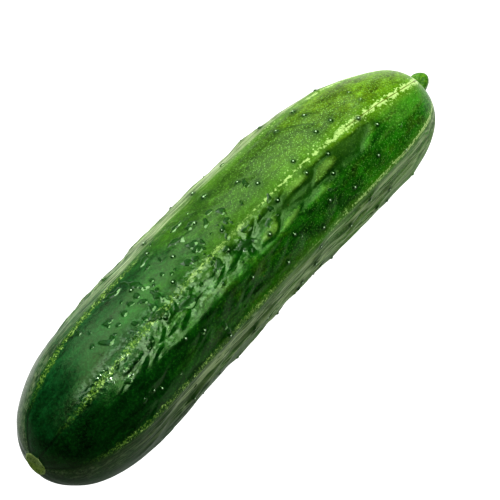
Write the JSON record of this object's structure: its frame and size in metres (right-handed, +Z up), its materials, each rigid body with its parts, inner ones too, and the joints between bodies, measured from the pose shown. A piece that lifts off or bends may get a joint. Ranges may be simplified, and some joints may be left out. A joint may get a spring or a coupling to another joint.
{
  "type": "cucumber",
  "caption": "Slicing cucumber with low ribs, small warts, a corky blossom scar and a short bent stub of its stem, lying on its side.",
  "frame": {"origin": "on the flat spot that the fruit rests on, under the middle of its length and of its bowed axis", "axes": "+X along the fruit from the blossom end to the stem end, +Z up, +Y towards the outer side of the bow, to which the stub of the stem bends"},
  "size_m": [0.2035, 0.0543, 0.0504],
  "materials": {
    "skin": "waxy dark green skin, wet and glossy, paler towards the stem, with thin yellow-green stripes",
    "stem": "fibrous bright green stalk"
  },
  "bodies": {
    "root": {"fruit": "skin", "stem": "stem"}
  },
  "joints": []
}
